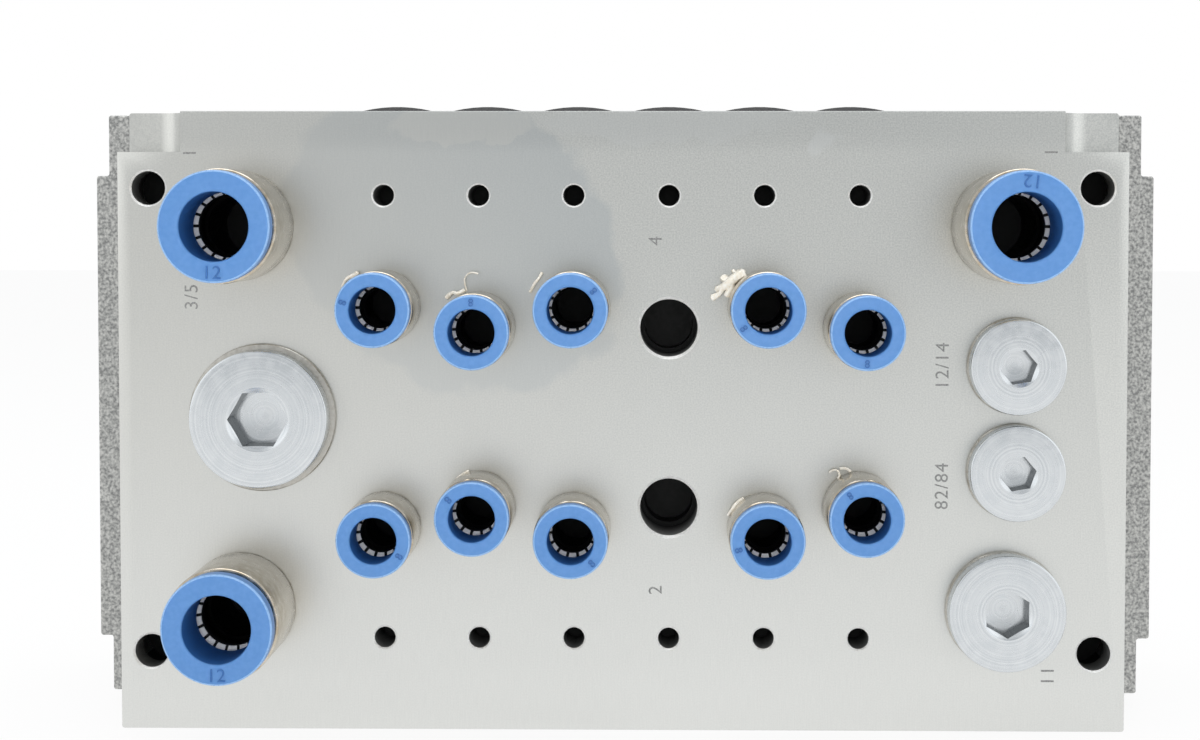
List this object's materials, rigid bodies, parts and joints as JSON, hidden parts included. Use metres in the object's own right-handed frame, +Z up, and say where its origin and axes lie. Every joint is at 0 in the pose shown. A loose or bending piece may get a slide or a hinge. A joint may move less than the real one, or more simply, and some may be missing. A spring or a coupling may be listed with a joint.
{
  "type": "pneumatic valve island",
  "caption": "Row of pneumatic valve slices between cast end plates, on a milled aluminium plate with push-in tube fittings, blanking plugs and open threaded ports.",
  "frame": {"origin": "centre of the pattern of output ports and accessory holes, on the port face of the plate", "axes": "+X along the row of slices, -Y out of the port face, +Z up as the island stands on its long edge"},
  "size_m": [0.2096, 0.122, 0.1194],
  "materials": {
    "machined_aluminium": "milled and brushed",
    "cast_aluminium": "sand cast",
    "slice_aluminium": "die cast",
    "spool_aluminium": "ground",
    "seal_ring_aluminium": "pressed",
    "black_plastic": "moulded",
    "housing_plastic": "moulded",
    "insert_plastic": "moulded",
    "button_plastic": "moulded",
    "ring_plastic": "moulded",
    "circuit_board": "solder mask",
    "amber_lens": "clear moulded",
    "nickel_plated_brass": "nickel plated",
    "pin_brass": "gold flashed",
    "spring_steel": "stamped stainless",
    "zinc_plated_steel": "zinc plated",
    "screw_steel": "zinc plated",
    "tinned_steel": "tin plated",
    "solenoid_steel": "drawn can",
    "seal_rubber": "moulded"
  },
  "bodies": {
    "island": {"connector_plate": "machined_aluminium", "left_end_plate": "cast_aluminium", "right_end_plate": "cast_aluminium", "pilot_caps": "black_plastic", "electrical_housing": "housing_plastic", "pilot_solenoids": "solenoid_steel", "small_fitting_bodies": "nickel_plated_brass", "large_fitting_bodies": "nickel_plated_brass", "grip_rings": "spring_steel", "tube_seals": "seal_rubber", "blanking_plugs": "zinc_plated_steel", "plug_seal_rings": "seal_ring_aluminium", "base_gaskets": "seal_rubber", "slice_seals": "seal_rubber", "tie_rods": "screw_steel", "island_screws": "screw_steel", "housing_screws": "screw_steel", "circuit_board": "circuit_board", "connector_shell": "tinned_steel", "connector_insert": "insert_plastic", "connector_pins": "pin_brass", "indicator_lenses": "amber_lens", "valve_slice_1": "slice_aluminium", "valve_slice_2": "slice_aluminium", "valve_slice_3": "slice_aluminium", "valve_slice_4": "slice_aluminium", "valve_slice_5": "slice_aluminium", "valve_slice_6": "slice_aluminium"},
    "release_ring_port_4_valve_1": {"release_ring_port_4_valve_1": "ring_plastic"},
    "release_ring_port_2_valve_1": {"release_ring_port_2_valve_1": "ring_plastic"},
    "release_ring_port_4_valve_2": {"release_ring_port_4_valve_2": "ring_plastic"},
    "release_ring_port_2_valve_2": {"release_ring_port_2_valve_2": "ring_plastic"},
    "release_ring_port_4_valve_3": {"release_ring_port_4_valve_3": "ring_plastic"},
    "release_ring_port_2_valve_3": {"release_ring_port_2_valve_3": "ring_plastic"},
    "release_ring_port_4_valve_5": {"release_ring_port_4_valve_5": "ring_plastic"},
    "release_ring_port_2_valve_5": {"release_ring_port_2_valve_5": "ring_plastic"},
    "release_ring_port_4_valve_6": {"release_ring_port_4_valve_6": "ring_plastic"},
    "release_ring_port_2_valve_6": {"release_ring_port_2_valve_6": "ring_plastic"},
    "release_ring_supply_1_left": {"release_ring_supply_1_left": "ring_plastic"},
    "release_ring_supply_1_right": {"release_ring_supply_1_right": "ring_plastic"},
    "release_ring_supply_11_left": {"release_ring_supply_11_left": "ring_plastic"},
    "override_button_14_valve_1": {"override_button_14_valve_1": "button_plastic"},
    "override_button_12_valve_1": {"override_button_12_valve_1": "button_plastic"},
    "override_button_14_valve_2": {"override_button_14_valve_2": "button_plastic"},
    "override_button_12_valve_2": {"override_button_12_valve_2": "button_plastic"},
    "override_button_14_valve_3": {"override_button_14_valve_3": "button_plastic"},
    "override_button_12_valve_3": {"override_button_12_valve_3": "button_plastic"},
    "override_button_14_valve_4": {"override_button_14_valve_4": "button_plastic"},
    "override_button_12_valve_4": {"override_button_12_valve_4": "button_plastic"},
    "override_button_14_valve_5": {"override_button_14_valve_5": "button_plastic"},
    "override_button_12_valve_5": {"override_button_12_valve_5": "button_plastic"},
    "override_button_14_valve_6": {"override_button_14_valve_6": "button_plastic"},
    "override_button_12_valve_6": {"override_button_12_valve_6": "button_plastic"},
    "spool_1": {"spool_1": "spool_aluminium"},
    "spool_2": {"spool_2": "spool_aluminium"},
    "spool_3": {"spool_3": "spool_aluminium"},
    "spool_4": {"spool_4": "spool_aluminium"},
    "spool_5": {"spool_5": "spool_aluminium"},
    "spool_6": {"spool_6": "spool_aluminium"}
  },
  "joints": [
    {"name": "release_ring_port_4_valve_1_press", "type": "slide", "parent": "island", "child": "release_ring_port_4_valve_1", "axis": [0, 1, 0], "range_m": [0, 0.0013], "stiffness_N_per_m": 1500},
    {"name": "release_ring_port_2_valve_1_press", "type": "slide", "parent": "island", "child": "release_ring_port_2_valve_1", "axis": [0, 1, 0], "range_m": [0, 0.0013], "stiffness_N_per_m": 1500},
    {"name": "release_ring_port_4_valve_2_press", "type": "slide", "parent": "island", "child": "release_ring_port_4_valve_2", "axis": [0, 1, 0], "range_m": [0, 0.0013], "stiffness_N_per_m": 1500},
    {"name": "release_ring_port_2_valve_2_press", "type": "slide", "parent": "island", "child": "release_ring_port_2_valve_2", "axis": [0, 1, 0], "range_m": [0, 0.0013], "stiffness_N_per_m": 1500},
    {"name": "release_ring_port_4_valve_3_press", "type": "slide", "parent": "island", "child": "release_ring_port_4_valve_3", "axis": [0, 1, 0], "range_m": [0, 0.0013], "stiffness_N_per_m": 1500},
    {"name": "release_ring_port_2_valve_3_press", "type": "slide", "parent": "island", "child": "release_ring_port_2_valve_3", "axis": [0, 1, 0], "range_m": [0, 0.0013], "stiffness_N_per_m": 1500},
    {"name": "release_ring_port_4_valve_5_press", "type": "slide", "parent": "island", "child": "release_ring_port_4_valve_5", "axis": [0, 1, 0], "range_m": [0, 0.0013], "stiffness_N_per_m": 1500},
    {"name": "release_ring_port_2_valve_5_press", "type": "slide", "parent": "island", "child": "release_ring_port_2_valve_5", "axis": [0, 1, 0], "range_m": [0, 0.0013], "stiffness_N_per_m": 1500},
    {"name": "release_ring_port_4_valve_6_press", "type": "slide", "parent": "island", "child": "release_ring_port_4_valve_6", "axis": [0, 1, 0], "range_m": [0, 0.0013], "stiffness_N_per_m": 1500},
    {"name": "release_ring_port_2_valve_6_press", "type": "slide", "parent": "island", "child": "release_ring_port_2_valve_6", "axis": [0, 1, 0], "range_m": [0, 0.0013], "stiffness_N_per_m": 1500},
    {"name": "release_ring_supply_1_left_press", "type": "slide", "parent": "island", "child": "release_ring_supply_1_left", "axis": [0, 1, 0], "range_m": [0, 0.0013], "stiffness_N_per_m": 2500},
    {"name": "release_ring_supply_1_right_press", "type": "slide", "parent": "island", "child": "release_ring_supply_1_right", "axis": [0, 1, 0], "range_m": [0, 0.0013], "stiffness_N_per_m": 2500},
    {"name": "release_ring_supply_11_left_press", "type": "slide", "parent": "island", "child": "release_ring_supply_11_left", "axis": [0, 1, 0], "range_m": [0, 0.0013], "stiffness_N_per_m": 2500},
    {"name": "override_button_14_valve_1_press", "type": "slide", "parent": "island", "child": "override_button_14_valve_1", "axis": [0, -1, 0], "range_m": [0, 0.0015], "stiffness_N_per_m": 2000},
    {"name": "override_button_12_valve_1_press", "type": "slide", "parent": "island", "child": "override_button_12_valve_1", "axis": [0, -1, 0], "range_m": [0, 0.0015], "stiffness_N_per_m": 2000},
    {"name": "override_button_14_valve_2_press", "type": "slide", "parent": "island", "child": "override_button_14_valve_2", "axis": [0, -1, 0], "range_m": [0, 0.0015], "stiffness_N_per_m": 2000},
    {"name": "override_button_12_valve_2_press", "type": "slide", "parent": "island", "child": "override_button_12_valve_2", "axis": [0, -1, 0], "range_m": [0, 0.0015], "stiffness_N_per_m": 2000},
    {"name": "override_button_14_valve_3_press", "type": "slide", "parent": "island", "child": "override_button_14_valve_3", "axis": [0, -1, 0], "range_m": [0, 0.0015], "stiffness_N_per_m": 2000},
    {"name": "override_button_12_valve_3_press", "type": "slide", "parent": "island", "child": "override_button_12_valve_3", "axis": [0, -1, 0], "range_m": [0, 0.0015], "stiffness_N_per_m": 2000},
    {"name": "override_button_14_valve_4_press", "type": "slide", "parent": "island", "child": "override_button_14_valve_4", "axis": [0, -1, 0], "range_m": [0, 0.0015], "stiffness_N_per_m": 2000},
    {"name": "override_button_12_valve_4_press", "type": "slide", "parent": "island", "child": "override_button_12_valve_4", "axis": [0, -1, 0], "range_m": [0, 0.0015], "stiffness_N_per_m": 2000},
    {"name": "override_button_14_valve_5_press", "type": "slide", "parent": "island", "child": "override_button_14_valve_5", "axis": [0, -1, 0], "range_m": [0, 0.0015], "stiffness_N_per_m": 2000},
    {"name": "override_button_12_valve_5_press", "type": "slide", "parent": "island", "child": "override_button_12_valve_5", "axis": [0, -1, 0], "range_m": [0, 0.0015], "stiffness_N_per_m": 2000},
    {"name": "override_button_14_valve_6_press", "type": "slide", "parent": "island", "child": "override_button_14_valve_6", "axis": [0, -1, 0], "range_m": [0, 0.0015], "stiffness_N_per_m": 2000},
    {"name": "override_button_12_valve_6_press", "type": "slide", "parent": "island", "child": "override_button_12_valve_6", "axis": [0, -1, 0], "range_m": [0, 0.0015], "stiffness_N_per_m": 2000},
    {"name": "spool_1_shift", "type": "slide", "parent": "island", "child": "spool_1", "axis": [0, 0, 1], "range_m": [0, 0.003]},
    {"name": "spool_2_shift", "type": "slide", "parent": "island", "child": "spool_2", "axis": [0, 0, 1], "range_m": [0, 0.003]},
    {"name": "spool_3_shift", "type": "slide", "parent": "island", "child": "spool_3", "axis": [0, 0, 1], "range_m": [0, 0.003]},
    {"name": "spool_4_shift", "type": "slide", "parent": "island", "child": "spool_4", "axis": [0, 0, 1], "range_m": [0, 0.003]},
    {"name": "spool_5_shift", "type": "slide", "parent": "island", "child": "spool_5", "axis": [0, 0, 1], "range_m": [0, 0.003]},
    {"name": "spool_6_shift", "type": "slide", "parent": "island", "child": "spool_6", "axis": [0, 0, 1], "range_m": [0, 0.003]}
  ]
}
